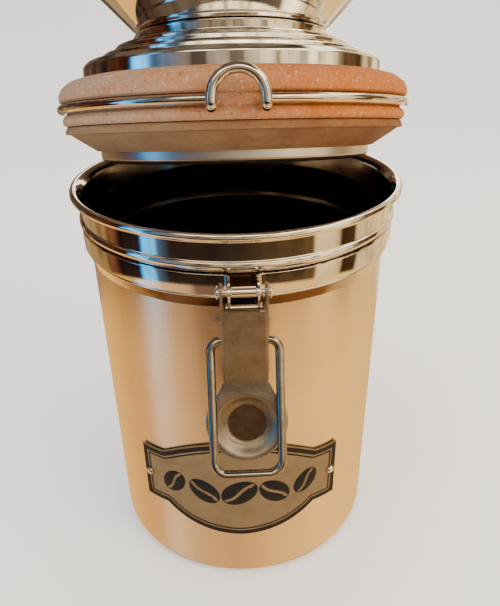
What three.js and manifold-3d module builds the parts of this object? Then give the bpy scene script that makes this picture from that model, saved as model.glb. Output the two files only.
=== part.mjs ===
// Clamp-lid canister: a drawn can with a rolled neck, a wire-hinged stepped lid with a flared knob,
// a soft sealing ring, and an over-centre front latch with a wire bail.
// Millimetres, +Z up, front on -Y, origin on the flat base under the can's axis.
// The lid stands ajar on its rear hinge, the lever is down and the bail hangs from the lever.
import * as THREE from 'three';
import { mergeVertices } from 'three/addons/utils/BufferGeometryUtils.js';
import Module from 'manifold-3d';

const wasm = await Module();
wasm.setup();

// Can
const RIM_TOP = 150.6;
const RIM_RADIUS = 60.0;
const ROLL_RADIUS = 1.4;
const BODY_RADIUS = 55.0;
const BODY_WALL = 1.0;
const BODY_TOP = 125.3;
const SEGMENTS = 40;
const GAP = 0.3;

// Neck and clamp band
const NECK_BOTTOM = 125.6;
const BAND_SEAT_RADIUS = 56.0;
const BAND_LOW = 129.9;
const BAND_HIGH = 137.0;
const BAND_INNER = 56.35;
const BAND_OUTER = 57.15;
const RIVET_Z = 133.5;
const EAR_INNER = 3.9;
const EAR_OUTER = 4.8;

// Lid, in heights above the rim
const LID_TILT_DEG = 12.7;
const HINGE_Y = 65.0;
const HINGE_Z = 133.3;
const WIRE_RADIUS = 1.5;
const RING_RADIUS = 59.8;
const RING_HEIGHT = 8.2;
const HOOK_HALF = 7.1;
const HOOK_REACH = 65.5;
const HOOK_SEAT = 5.9;
const HOOK_TOP = 15.2;
const REAR_LEG_X = 9.6;
const REAR_STUB_X = 4.2;

// Latch lever, in its own frame about the pivot
const PIVOT_Y = -62.8;
const PIVOT_Z = 134.2;
const LEVER_HALF = 7.15;
const NECK_HALF = 6.7;
const SHEET = 1.0;
const FACE_Y = -1.8;
const FACE_TOP = -5.8;
const CREASE_Z = -31.5;
const PAD_TILT_DEG = 18.0;
const PAD_DROP = 12.5;
const PAD_RADIUS = 13.0;
const DISH_DROP = 13.8;
const DISH_RADIUS = 9.4;
const DISH_DEPTH = 2.4;
const BAIL_HOLE_Y = 1.8;
const BAIL_HOLE_Z = -17.4;
const TIE_Y = -61.4;
const TIE_Z = 128.3;

// Bail
const BAIL_WIRE = 1.4;
const BAIL_HALF = 10.6;
const BAIL_REACH = 42.7;
const BAIL_CORNER = 3.4;
const BAIL_HANG_DEG = 22.0;

// Label plate
const PLATE_TURN_DEG = -3.1;
const PLATE_INNER = 55.35;
const PLATE_OUTER = 56.15;
const PLATE_CENTRE_Z = 47.0;
const PLATE_RIVET_S = 36.6;

const steel = { color: 0xc8a078, roughness: 0.32, metalness: 1.0 };
const mirror = { color: 0xd8cdbc, roughness: 0.08, metalness: 1.0 };
const dullSteel = { color: 0x7d6348, roughness: 0.45, metalness: 1.0 };
const bronze = { color: 0x85684a, roughness: 0.4, metalness: 0.9 };
const silicone = { color: 0xb0937a, roughness: 0.8, metalness: 0.0 };
const seal = { color: 0x8c6b4c, roughness: 0.75, metalness: 0.0 };

function toManifold(geometry) {
  const bare = geometry.clone();
  for (const name of Object.keys(bare.attributes)) {
    if (name !== 'position') bare.deleteAttribute(name);
  }
  const merged = mergeVertices(bare, 1e-4);
  return new wasm.Manifold(new wasm.Mesh({
    numProp: 3,
    vertProperties: new Float32Array(merged.attributes.position.array),
    triVerts: new Uint32Array(merged.index.array),
  }));
}

function fromManifold(solid) {
  const mesh = solid.getMesh();
  const geometry = new THREE.BufferGeometry();
  geometry.setAttribute('position', new THREE.BufferAttribute(new Float32Array(mesh.vertProperties), 3));
  geometry.setIndex(new THREE.BufferAttribute(new Uint32Array(mesh.triVerts), 1));
  geometry.computeVertexNormals();
  return geometry;
}

function piece(name, solid, look) {
  const mesh = new THREE.Mesh(fromManifold(solid), new THREE.MeshStandardMaterial(look));
  mesh.name = name;
  return mesh;
}

// A lathe about +Z from [radius, height] points that start and end on the axis or close on themselves.
function turned(points, segments = SEGMENTS) {
  const profile = points.map(([r, z]) => new THREE.Vector2(r, z));
  const onAxis = points[0][0] === 0 && points[points.length - 1][0] === 0;
  if (!onAxis) profile.push(profile[0].clone());
  let area = 0;
  for (let i = 0; i < profile.length; i += 1) {
    const a = profile[i];
    const b = profile[(i + 1) % profile.length];
    area += a.x * b.y - b.x * a.y;
  }
  if (area < 0) profile.reverse();
  const geometry = new THREE.LatheGeometry(profile, segments);
  geometry.rotateX(Math.PI / 2);
  let solid = toManifold(geometry);
  if (solid.volume() < 0) {
    const flipped = geometry.clone();
    flipped.index.array.reverse();
    solid = toManifold(flipped);
  }
  return solid;
}

function arc(cx, cz, radius, fromDeg, toDeg, steps) {
  const points = [];
  for (let i = 0; i <= steps; i += 1) {
    const a = THREE.MathUtils.degToRad(fromDeg + ((toDeg - fromDeg) * i) / steps);
    points.push([cx + radius * Math.cos(a), cz + radius * Math.sin(a)]);
  }
  return points;
}

function extruded(shape, depth, curveSegments = 10) {
  return new THREE.ExtrudeGeometry(shape, { depth, bevelEnabled: false, curveSegments });
}

// A path that visits given vertices exactly, so that bends keep their own spacing.
class VertexPath extends THREE.Curve {
  constructor(points) {
    super();
    this.points = points;
  }

  getPoint(t) {
    const last = this.points.length - 1;
    const u = Math.min(Math.max(t, 0), 1) * last;
    const i = Math.min(Math.floor(u), last - 1);
    return this.points[i].clone().lerp(this.points[i + 1], u - i);
  }

  getPointAt(t) {
    return this.getPoint(t);
  }

  getTangentAt(t) {
    const last = this.points.length - 1;
    const i = Math.round(Math.min(Math.max(t, 0), 1) * last);
    const a = this.points[Math.max(i - 1, 0)];
    const b = this.points[Math.min(i + 1, last)];
    return b.clone().sub(a).normalize();
  }
}

// Rounds the corners of an open polyline with a fillet of the given radius.
function filleted(corners, radius, steps = 4) {
  const path = [corners[0].clone()];
  for (let i = 1; i < corners.length - 1; i += 1) {
    const before = corners[i - 1].clone().sub(corners[i]).normalize();
    const after = corners[i + 1].clone().sub(corners[i]).normalize();
    const half = Math.acos(THREE.MathUtils.clamp(before.dot(after), -1, 1)) / 2;
    if (half > 1.5) {
      path.push(corners[i].clone());
      continue;
    }
    const trim = radius / Math.tan(half);
    const bisector = before.clone().add(after).normalize();
    const centre = corners[i].clone().addScaledVector(bisector, radius / Math.sin(half));
    const start = corners[i].clone().addScaledVector(before, trim).sub(centre);
    const end = corners[i].clone().addScaledVector(after, trim).sub(centre);
    const sweep = start.angleTo(end);
    const axis = start.clone().cross(end).normalize();
    for (let k = 0; k <= steps; k += 1) {
      path.push(start.clone().applyAxisAngle(axis, (sweep * k) / steps).add(centre));
    }
  }
  path.push(corners[corners.length - 1].clone());
  return path;
}

function roundSection(radius, sides) {
  const section = new THREE.Shape();
  for (let i = 0; i < sides; i += 1) {
    const a = (i / sides) * Math.PI * 2;
    if (i === 0) section.moveTo(radius * Math.cos(a), radius * Math.sin(a));
    else section.lineTo(radius * Math.cos(a), radius * Math.sin(a));
  }
  section.closePath();
  return section;
}

function wire(points, radius, sides = 8) {
  const path = new VertexPath(points);
  const geometry = new THREE.ExtrudeGeometry(roundSection(radius, sides), {
    steps: points.length - 1,
    bevelEnabled: false,
    extrudePath: path,
  });
  return toManifold(geometry);
}

// A round bar along X through (y, z).
function barX(x0, x1, y, z, radius, sides = 16) {
  const geometry = new THREE.CylinderGeometry(radius, radius, x1 - x0, sides);
  geometry.rotateZ(-Math.PI / 2);
  geometry.translate((x0 + x1) / 2, y, z);
  return toManifold(geometry);
}

// A domed rivet head whose flat side faces -X (side = 1) or +X (side = -1).
function headX(side, x, y, z, radius, height) {
  const profile = [[0, 0], [radius, 0], [radius * 0.94, height * 0.45], [radius * 0.6, height * 0.85], [0, height]];
  const geometry = new THREE.LatheGeometry(profile.map(([r, h]) => new THREE.Vector2(r, h)), 16);
  geometry.rotateZ(side > 0 ? -Math.PI / 2 : Math.PI / 2);
  geometry.translate(x, y, z);
  return toManifold(geometry);
}

function box(x0, x1, y0, y1, z0, z1) {
  const geometry = new THREE.BoxGeometry(x1 - x0, y1 - y0, z1 - z0);
  geometry.translate((x0 + x1) / 2, (y0 + y1) / 2, (z0 + z1) / 2);
  return toManifold(geometry);
}

function canBody() {
  return turned([
    [0, 0],
    [BODY_RADIUS - 3.0, 0],
    ...arc(BODY_RADIUS - 3.0, 3.0, 3.0, -67.5, 0, 3),
    [BODY_RADIUS, BODY_TOP],
    [BODY_RADIUS - BODY_WALL, BODY_TOP],
    [BODY_RADIUS - BODY_WALL, 3.6],
    [BODY_RADIUS - 2.2, 1.8],
    [BODY_RADIUS - 4.0, 1.2],
    [0, 1.2],
  ]);
}

function neckCollar() {
  const rollCentre = RIM_RADIUS - ROLL_RADIUS;
  return turned([
    [54.3, NECK_BOTTOM],
    [55.2, NECK_BOTTOM],
    [56.6, 129.3],
    [BAND_SEAT_RADIUS, BAND_LOW - GAP],
    [BAND_SEAT_RADIUS, BAND_HIGH + GAP],
    [56.6, 138.0],
    ...arc(56.6, 139.5, 1.25, -60, 60, 4),
    [56.9, 140.9],
    [56.9, 147.2],
    ...arc(rollCentre, RIM_TOP - ROLL_RADIUS, ROLL_RADIUS, -120, 150, 7),
    [56.0, 147.6],
    [55.0, 140.2],
    [55.0, 127.9],
  ]);
}

// One ear of the clamp band: a plate across X with its corners taken off.
function earPlate(x0, x1) {
  const ear = new THREE.Shape();
  ear.moveTo(56.6, 136.6);
  ear.lineTo(61.0, 136.8);
  ear.lineTo(63.2, 136.8);
  ear.lineTo(64.8, 135.9);
  ear.lineTo(65.4, 134.2);
  ear.lineTo(64.8, 132.3);
  ear.lineTo(63.3, 130.7);
  ear.lineTo(63.2, 128.1);
  ear.lineTo(62.5, 126.6);
  ear.lineTo(61.2, 126.1);
  ear.lineTo(59.8, 126.8);
  ear.lineTo(59.2, 128.9);
  ear.lineTo(58.4, 130.2);
  ear.lineTo(56.6, 130.2);
  ear.closePath();
  const geometry = extruded(ear, x1 - x0);
  // Shape x runs outward along -Y and shape y along +Z.
  geometry.applyMatrix4(new THREE.Matrix4().set(
    0, 0, 1, x0,
    -1, 0, 0, 0,
    0, 1, 0, 0,
    0, 0, 0, 1,
  ));
  return toManifold(flipIfInside(geometry));
}

function flipIfInside(geometry) {
  const solid = toManifold(geometry);
  if (solid.volume() >= 0) return geometry;
  const flat = geometry.index ? geometry : mergeVertices(geometry);
  flat.index.array.reverse();
  return flat;
}

function clampBand() {
  let band = turned([
    [BAND_INNER, BAND_LOW],
    [BAND_OUTER, BAND_LOW],
    [BAND_OUTER, BAND_HIGH],
    [BAND_INNER, BAND_HIGH],
  ]);
  band = band.subtract(box(-EAR_INNER, EAR_INNER, -62, -50, 120, 145));
  for (const side of [-1, 1]) {
    const x0 = side > 0 ? EAR_INNER : -EAR_OUTER;
    band = band.add(earPlate(x0, x0 + EAR_OUTER - EAR_INNER));
  }
  band = band.subtract(barX(-9, 9, PIVOT_Y, PIVOT_Z, 1.35, 20));
  return band.subtract(barX(-9, 9, TIE_Y, TIE_Z, 1.2, 16));
}

// Fixed hinge bracket behind the band: a curved pad with two upright ears bored for the lid wire.
function hingeBracket() {
  const pad = turned([
    [BAND_OUTER + GAP, 130.1],
    [58.6, 130.1],
    [58.6, 136.8],
    [BAND_OUTER + GAP, 136.8],
  ]);
  let bracket = pad.intersect(box(-15, 15, 40, 70, 125, 145));
  for (const side of [-1, 1]) {
    const x0 = side > 0 ? 5.4 : -6.8;
    bracket = bracket.add(box(x0, x0 + 1.4, 57.9, 65.2, 131.4, 135.7));
    bracket = bracket.add(barX(x0, x0 + 1.4, HINGE_Y, HINGE_Z, 2.9, 20));
  }
  bracket = bracket.subtract(barX(-8, 8, HINGE_Y, HINGE_Z, WIRE_RADIUS + 0.25, 20));
  for (const side of [-1, 1]) bracket = bracket.subtract(rivetShank(side, 1.45));
  return bracket;
}

// The radial line of a bracket rivet, as a rotation about Z measured from +Y.
function rivetShank(side, radius, from = 57.0, to = 60.5) {
  const geometry = new THREE.CylinderGeometry(radius, radius, to - from, 12);
  geometry.translate(0, (from + to) / 2, RIVET_Z);
  geometry.rotateZ(-side * 0.205);
  return toManifold(geometry);
}

// A small domed rivet seated in the bracket pad.
function bracketRivet(side) {
  const profile = [[0, 57.5], [1.1, 57.5], [1.1, 58.95], [2.3, 58.95], [2.0, 59.6], [1.2, 60.0], [0, 60.1]];
  const geometry = new THREE.LatheGeometry(profile.map(([r, h]) => new THREE.Vector2(r, h)), 14);
  geometry.translate(0, 0, RIVET_Z);
  geometry.rotateZ(-side * 0.205);
  return toManifold(geometry);
}

function tiePin() {
  let pin = barX(-5.2, 5.2, TIE_Y, TIE_Z, 0.85, 12);
  for (const side of [-1, 1]) pin = pin.add(headX(side, side * 5.1, TIE_Y, TIE_Z, 1.4, 0.8));
  return pin;
}

function pivotSleeve() {
  const outer = barX(-3.6, 3.6, PIVOT_Y, PIVOT_Z, 1.6, 20);
  return outer.subtract(barX(-5, 5, PIVOT_Y, PIVOT_Z, 1.25, 20));
}

function pivotPin() {
  let pin = barX(-7.8, 7.8, PIVOT_Y, PIVOT_Z, 0.95, 16);
  for (const side of [-1, 1]) pin = pin.add(headX(side, side * 7.6, PIVOT_Y, PIVOT_Z, 2.1, 1.0));
  return pin;
}

// The lever's cheek, seen from +X: local Y runs along -shape x, local Z along shape y.
function leverCheek(x0) {
  const cheek = new THREE.Shape();
  cheek.moveTo(-FACE_Y, FACE_TOP);
  cheek.lineTo(2.9, -0.6);
  cheek.absarc(0, 0, 2.9, -0.2, Math.PI, false);
  cheek.lineTo(-4.7, -15.2);
  cheek.lineTo(-4.7, -20.4);
  cheek.lineTo(-3.2, -22.6);
  cheek.lineTo(0.9, -30.0);
  cheek.lineTo(-FACE_Y, -30.0);
  cheek.closePath();
  const geometry = extruded(cheek, SHEET, 12);
  geometry.applyMatrix4(new THREE.Matrix4().set(
    0, 0, 1, x0,
    -1, 0, 0, 0,
    0, 1, 0, 0,
    0, 0, 0, 1,
  ));
  return toManifold(flipIfInside(geometry));
}

// The flat face of the lever, down to the crease where the thumb pad turns outward.
function leverFace() {
  const face = new THREE.Shape();
  face.moveTo(-LEVER_HALF, FACE_TOP);
  face.lineTo(-NECK_HALF, CREASE_Z + 3.0);
  face.lineTo(-7.0, CREASE_Z - 0.2);
  face.lineTo(7.0, CREASE_Z - 0.2);
  face.lineTo(NECK_HALF, CREASE_Z + 3.0);
  face.lineTo(LEVER_HALF, FACE_TOP);
  face.closePath();
  const plate = extruded(face, SHEET);
  plate.rotateX(Math.PI / 2);
  plate.translate(0, FACE_Y + SHEET, 0);
  return toManifold(flipIfInside(plate));
}

// The round thumb pad with its pressed dish, hanging along -Z from the crease, inner face at y = 0.
function thumbPad() {
  const reach = PAD_RADIUS * Math.SQRT1_2;
  const outline = new THREE.Shape();
  outline.moveTo(-7.0, 0.2);
  outline.quadraticCurveTo(-7.3, -1.6, -reach, reach - PAD_DROP);
  outline.absarc(0, -PAD_DROP, PAD_RADIUS, Math.PI * 0.75, Math.PI * 2.25, false);
  outline.quadraticCurveTo(7.3, -1.6, 7.0, 0.2);
  outline.closePath();
  const plate = extruded(outline, SHEET, 16);
  plate.rotateX(Math.PI / 2);
  let pad = toManifold(flipIfInside(plate));
  const cut = new THREE.CylinderGeometry(DISH_RADIUS, DISH_RADIUS, 6, 32);
  cut.translate(0, 0, -DISH_DROP);
  pad = pad.subtract(toManifold(cut));
  const dish = [
    [0, DISH_DEPTH], [5.6, DISH_DEPTH], [6.4, DISH_DEPTH - 0.9], [DISH_RADIUS, -0.95], [9.9, -0.9],
    [9.9, -0.1], [7.2, DISH_DEPTH - 0.5], [6.6, DISH_DEPTH + 0.9], [0, DISH_DEPTH + 1.0],
  ];
  const bowl = new THREE.LatheGeometry(dish.map(([r, y]) => new THREE.Vector2(r, y)), 32);
  bowl.translate(0, 0, -DISH_DROP);
  return pad.add(toManifold(flipIfInside(bowl)));
}

function lever() {
  const pad = thumbPad().rotate([-PAD_TILT_DEG, 0, 0]).translate([0, FACE_Y + SHEET, CREASE_Z]);
  let solid = leverFace().add(pad);
  solid = solid.add(leverCheek(LEVER_HALF - SHEET)).add(leverCheek(-LEVER_HALF));
  solid = solid.subtract(barX(-9, 9, 0, 0, 1.3, 16));
  return solid.subtract(barX(-9, 9, BAIL_HOLE_Y, BAIL_HOLE_Z, 1.75, 16));
}

// Closed wire loop in its own frame: the pivot bar lies on the X axis and the loop hangs along -Z.
function bail() {
  const overrun = 0.2;
  const v = (x, z) => new THREE.Vector3(x, 0, z);
  const half = filleted([
    v(-overrun, 0),
    v(BAIL_HALF, 0),
    v(BAIL_HALF, -BAIL_REACH),
    v(-overrun, -BAIL_REACH),
  ], BAIL_CORNER, 5);
  const mirrored = half.map((p) => v(-p.x, p.z));
  return wire(half, BAIL_WIRE, 10).add(wire(mirrored, BAIL_WIRE, 10));
}

// One length of wire: hinge stubs, rear legs, the ring round the lid, and the front hook.
function lidWire() {
  const down = HINGE_Z - RIM_TOP;
  const v = (x, y, z) => new THREE.Vector3(x, y, z);
  const rearY = Math.sqrt(RING_RADIUS ** 2 - REAR_LEG_X ** 2);
  const frontY = -Math.sqrt(RING_RADIUS ** 2 - HOOK_HALF ** 2);
  const rear = filleted([
    v(REAR_STUB_X, HINGE_Y, down),
    v(REAR_LEG_X, HINGE_Y, down),
    v(REAR_LEG_X, HINGE_Y, RING_HEIGHT - 1.0),
    v(REAR_LEG_X + 1.2, rearY - 0.4, RING_HEIGHT),
  ], 1.9, 4);
  rear.pop();
  const start = Math.atan2(REAR_LEG_X + 3.2, rearY);
  const end = Math.PI - Math.atan2(HOOK_HALF + 3.0, -frontY);
  const ring = [];
  const ringSteps = 23;
  for (let i = 0; i <= ringSteps; i += 1) {
    const a = start + ((end - start) * i) / ringSteps;
    ring.push(v(RING_RADIUS * Math.sin(a), RING_RADIUS * Math.cos(a), RING_HEIGHT));
  }
  const last = ring.pop();
  const hook = filleted([
    last,
    v(HOOK_HALF, frontY, RING_HEIGHT),
    v(HOOK_HALF, -61.2, HOOK_SEAT),
    v(HOOK_HALF, -HOOK_REACH, HOOK_SEAT),
    v(HOOK_HALF, -HOOK_REACH - 0.3, HOOK_TOP - HOOK_HALF),
  ], 1.5, 4);
  for (let k = 1; k <= 6; k += 1) {
    const a = (k / 6) * (Math.PI / 2);
    hook.push(v(HOOK_HALF * Math.cos(a), -HOOK_REACH - 0.3, HOOK_TOP - HOOK_HALF * (1 - Math.sin(a))));
  }
  hook.push(v(-0.2, -HOOK_REACH - 0.3, HOOK_TOP));
  const rightHalf = [...rear, ...ring, ...hook];
  const mirrored = rightHalf.map((p) => v(-p.x, p.y, p.z));
  return wire(rightHalf, WIRE_RADIUS).add(wire(mirrored, WIRE_RADIUS));
}

function lidRim() {
  return turned([
    [51.95, 2.8], [58.6, 2.8], [59.4, 3.4], [59.7, 4.4], [59.3, 5.6],
    [58.2, 6.6], [58.1, 8.2], [58.2, 9.7], [59.7, 10.0],
    [60.4, 11.1], [60.2, 12.9], [59.0, 14.9], [56.8, 16.5], [54.0, 17.3], [51.95, 17.4],
  ]);
}

function lidSeal() {
  return turned([
    [48.5, -5.4], [49.2, -5.3], [55.2, -1.4], [56.3, 0.4], [58.9, 0.4],
    [59.3, 1.0], [59.1, 1.9], [58.5, 2.45], [48.5, 2.45],
  ]);
}

function lidPlug() {
  return turned([
    [0, -9.2], [46.2, -9.2], [47.3, -8.8], [47.9, -7.7], [48.1, 2.3],
    [47.1, 2.3], [46.9, -7.6], [46.2, -8.2], [0, -8.2],
  ]);
}

function lidDome() {
  return turned([
    [3.4, 32.5], [32.4, 32.5], [33.4, 32.2], [34.6, 31.0], [35.4, 28.6],
    [40.2, 28.2], [40.9, 27.6], [41.0, 25.7], [44.5, 25.4], [45.3, 24.8], [45.5, 23.4],
    [50.4, 22.9], [51.4, 22.2], [51.6, 21.2], [51.6, 2.8],
    [50.7, 2.8], [50.7, 21.0], [50.0, 22.0], [44.7, 22.4], [44.5, 24.4], [40.2, 24.7],
    [40.0, 27.2], [34.6, 27.6], [33.7, 30.6], [32.2, 31.6], [3.4, 31.6],
  ]);
}

function knob() {
  return turned([
    [2.6, 32.8], [32.6, 32.8], [34.2, 34.0], [44.8, 44.6], [46.0, 46.4], [45.6, 48.2], [43.6, 49.6],
    [30.0, 52.6], [15.0, 54.2], [0, 54.6],
    [0, 53.6], [15.0, 53.2], [30.0, 51.6], [43.2, 48.7], [44.7, 47.2], [44.0, 45.6],
    [33.6, 35.2], [32.0, 33.8], [2.6, 33.8],
  ]);
}

function knobNut() {
  return turned([[2.35, 34.15], [4.6, 34.15], [4.6, 37.4], [2.35, 37.4]], 6)
    .add(turned([[2.35, 34.15], [4.3, 34.15], [4.3, 37.4], [2.35, 37.4]], 24));
}

function knobWasher() {
  return turned([[2.5, 30.3], [6.4, 30.3], [6.4, 31.25], [2.5, 31.25]], 24);
}

function knobScrew() {
  return turned([
    [0, 27.4], [3.4, 27.4], [4.0, 27.9], [4.2, 29.95], [2.0, 29.95], [2.0, 38.2], [0, 38.2],
  ], 20);
}

// Outline of the label plate: arc length along the can against height.
function plateOutline() {
  const outline = new THREE.Shape();
  outline.moveTo(-39.6, 59.6);
  outline.lineTo(-29.4, 60.4);
  outline.bezierCurveTo(-22.0, 65.0, -13.0, 70.2, 0.0, 70.6);
  outline.bezierCurveTo(13.0, 70.2, 22.0, 65.0, 29.4, 60.4);
  outline.lineTo(39.6, 59.6);
  outline.lineTo(39.6, 33.6);
  outline.lineTo(29.0, 34.6);
  outline.bezierCurveTo(21.0, 28.2, 11.0, 25.0, 0.0, 24.6);
  outline.bezierCurveTo(-11.0, 25.0, -21.0, 28.2, -29.0, 34.6);
  outline.lineTo(-39.6, 33.6);
  outline.closePath();
  return outline;
}

// The flat outline is cut through a curved sheet whose angle at each width matches arc length.
function labelPlate() {
  const sheet = turned([
    [PLATE_INNER, 20], [PLATE_OUTER, 20], [PLATE_OUTER, 75], [PLATE_INNER, 75],
  ], 96);
  const near = 40;
  const geometry = mergeVertices(extruded(plateOutline(), 60, 6));
  const position = geometry.attributes.position;
  for (let i = 0; i < position.count; i += 1) {
    const depth = near + position.getZ(i);
    const height = position.getY(i);
    position.setXYZ(i, depth * Math.tan(position.getX(i) / BODY_RADIUS), -depth, height);
  }
  const cutter = toManifold(flipIfInside(geometry));
  let plate = sheet.intersect(cutter);
  for (const side of [-1, 1]) plate = plate.subtract(plateRivetCore(side, 1.15, 50, 60));
  return plate;
}

function plateRivetCore(side, radius, from, to) {
  const geometry = new THREE.CylinderGeometry(radius, radius, to - from, 12);
  geometry.translate(0, -(from + to) / 2, PLATE_CENTRE_Z);
  geometry.rotateZ((side * PLATE_RIVET_S) / BODY_RADIUS);
  return toManifold(geometry);
}

// A small domed rivet through the label plate.
function plateRivet(side) {
  const profile = [[0, 55.4], [0.85, 55.4], [0.85, 56.45], [1.7, 56.45], [1.5, 57.0], [0.9, 57.3], [0, 57.4]];
  const geometry = new THREE.LatheGeometry(profile.map(([r, h]) => new THREE.Vector2(r, -h)), 12);
  geometry.translate(0, 0, PLATE_CENTRE_Z);
  geometry.rotateZ((side * PLATE_RIVET_S) / BODY_RADIUS);
  return toManifold(flipIfInside(geometry));
}

const group = new THREE.Group();
group.add(piece('can_body', canBody(), steel));
group.add(piece('neck_collar', neckCollar(), mirror));
group.add(piece('clamp_band', clampBand(), mirror));
group.add(piece('hinge_bracket', hingeBracket(), mirror));
group.add(piece('bracket_rivet_left', bracketRivet(-1), dullSteel));
group.add(piece('bracket_rivet_right', bracketRivet(1), dullSteel));
group.add(piece('band_tie_pin', tiePin(), mirror));
group.add(piece('pivot_sleeve', pivotSleeve(), mirror));
group.add(piece('lever_pivot_pin', pivotPin(), mirror));

const label = new THREE.Group();
label.rotation.z = THREE.MathUtils.degToRad(PLATE_TURN_DEG);
label.add(piece('label_plate', labelPlate(), bronze));
label.add(piece('label_rivet_left', plateRivet(-1), dullSteel));
label.add(piece('label_rivet_right', plateRivet(1), dullSteel));
group.add(label);

const leverFrame = new THREE.Group();
leverFrame.position.set(0, PIVOT_Y, PIVOT_Z);
leverFrame.add(piece('latch_lever', lever(), dullSteel));
const bailFrame = new THREE.Group();
bailFrame.position.set(0, BAIL_HOLE_Y, BAIL_HOLE_Z);
bailFrame.rotation.x = THREE.MathUtils.degToRad(-BAIL_HANG_DEG);
bailFrame.add(piece('latch_bail', bail(), mirror));
leverFrame.add(bailFrame);
group.add(leverFrame);

const lidHinge = new THREE.Group();
lidHinge.position.set(0, HINGE_Y, HINGE_Z);
lidHinge.rotation.x = THREE.MathUtils.degToRad(-LID_TILT_DEG);
const lid = new THREE.Group();
lid.position.set(0, -HINGE_Y, RIM_TOP - HINGE_Z);
lid.add(piece('lid_wire', lidWire(), mirror));
lid.add(piece('lid_rim', lidRim(), silicone));
lid.add(piece('lid_seal', lidSeal(), seal));
lid.add(piece('lid_plug', lidPlug(), mirror));
lid.add(piece('lid_dome', lidDome(), mirror));
lid.add(piece('knob', knob(), mirror));
lid.add(piece('knob_nut', knobNut(), steel));
lid.add(piece('knob_washer', knobWasher(), steel));
lid.add(piece('knob_screw', knobScrew(), steel));
lidHinge.add(lid);
group.add(lidHinge);

export default group;
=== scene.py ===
"""Clamp-lid coffee canister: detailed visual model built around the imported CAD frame."""
import math

import bmesh
import bpy
from mathutils import Matrix, Vector


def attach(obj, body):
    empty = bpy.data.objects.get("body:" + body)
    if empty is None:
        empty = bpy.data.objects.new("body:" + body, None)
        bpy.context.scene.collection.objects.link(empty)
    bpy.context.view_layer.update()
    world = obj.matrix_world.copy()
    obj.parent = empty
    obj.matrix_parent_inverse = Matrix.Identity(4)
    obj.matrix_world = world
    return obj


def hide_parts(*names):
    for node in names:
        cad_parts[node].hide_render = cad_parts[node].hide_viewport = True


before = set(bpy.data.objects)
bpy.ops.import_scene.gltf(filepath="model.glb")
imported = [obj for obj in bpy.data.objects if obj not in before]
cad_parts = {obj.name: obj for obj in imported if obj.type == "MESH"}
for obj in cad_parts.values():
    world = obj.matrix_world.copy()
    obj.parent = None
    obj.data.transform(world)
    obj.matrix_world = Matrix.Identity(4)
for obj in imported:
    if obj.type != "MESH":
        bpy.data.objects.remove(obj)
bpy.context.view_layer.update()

MM = 0.001
TAU = 2 * math.pi
TINY = 1e-6

# -------------------- shared places, in millimetres
CAN_RADIUS = 55.0
RIM_TOP = 150.6
BAND_LOW, BAND_HIGH = 129.9, 137.0
RIVET_Z = 133.5
HINGE = (0.0, 65.0, 133.3)
LID_TILT = math.radians(-12.7)
PIVOT = (0.0, -62.8, 134.2)
TIE_PIN = (0.0, -61.4, 128.3)
BAIL_PIVOT = (0.0, -61.0, 116.8)
BAIL_HANG = math.radians(-22.0)
LABEL_TURN = math.radians(-3.1)


def add_object(name, data):
    obj = bpy.data.objects.new(name, data)
    bpy.context.scene.collection.objects.link(obj)
    return obj


def shift(x, y, z):
    return Matrix.Translation(Vector((x, y, z)) * MM)


# Frames in which the pieces of each group are drawn. The lid's is at the rim, on the can's axis, when shut.
CAN = Matrix.Identity(4)
LID = (shift(*HINGE) @ Matrix.Rotation(LID_TILT, 4, "X")
       @ shift(-HINGE[0], -HINGE[1], RIM_TOP - HINGE[2]))
LEVER = shift(*PIVOT)
BAIL = shift(*BAIL_PIVOT) @ Matrix.Rotation(BAIL_HANG, 4, "X")
LABEL = Matrix.Rotation(LABEL_TURN, 4, "Z")


# -------------------- node helpers
class Nodes:
    """Short ways to build a shader tree. A value is a socket, a number, a Vector or an (r, g, b) tuple."""

    def __init__(self, tree, coordinates):
        self.tree = tree
        self.coord = self.node("TexCoord").outputs[coordinates]

    def node(self, kind, values=(), **props):
        """A new node, with its properties and the values of its named or numbered inputs."""
        n = self.tree.nodes.new("ShaderNode" + kind)
        for key, value in props.items():
            setattr(n, key, value)
        for key, value in dict(values).items():
            self.feed(value, n.inputs[key])
        return n

    def feed(self, value, socket):
        if isinstance(value, bpy.types.NodeSocket):
            self.tree.links.new(value, socket)
        else:
            socket.default_value = (*value, 1) if isinstance(value, tuple) else value

    def math(self, op, a, b):
        return self.node("Math", {0: a, 1: b}, operation=op).outputs[0]

    def weigh(self, first, *others):
        """The sum of (value, weight) pairs."""
        total = self.math("MULTIPLY", *first)
        for term in others:
            total = self.math("ADD", total, self.math("MULTIPLY", *term))
        return total

    def split(self, vector):
        return self.node("SeparateXYZ", {0: vector}).outputs

    def noise(self, vector, scale, detail=4.0, rough=0.55):
        values = {"Vector": vector, "Scale": scale, "Detail": detail, "Roughness": rough}
        return self.node("TexNoise", values).outputs["Fac"]

    def ramp(self, fac, stops):
        """A colour ramp; each stop is a place and one value, or a place and red, green and blue."""
        r = self.node("ValToRGB", {"Fac": fac})
        elements = r.color_ramp.elements
        while len(elements) < len(stops):
            elements.new(0.5)
        for element, (pos, *value) in zip(elements, stops):
            element.position = pos
            element.color = (*(value * 3)[:3], 1)
        return r.outputs["Color"]

    def fade(self, fac, start, end, top=1.0):
        """Rises from 0 where fac is start to top where it is end."""
        return self.ramp(fac, [(start, 0.0), (end, top)])

    def mix(self, fac, a, b, blend="MIX"):
        values = {"Factor": fac, "A": a, "B": b}
        return self.node("Mix", values, data_type="RGBA", blend_type=blend).outputs["Result"]


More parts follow.
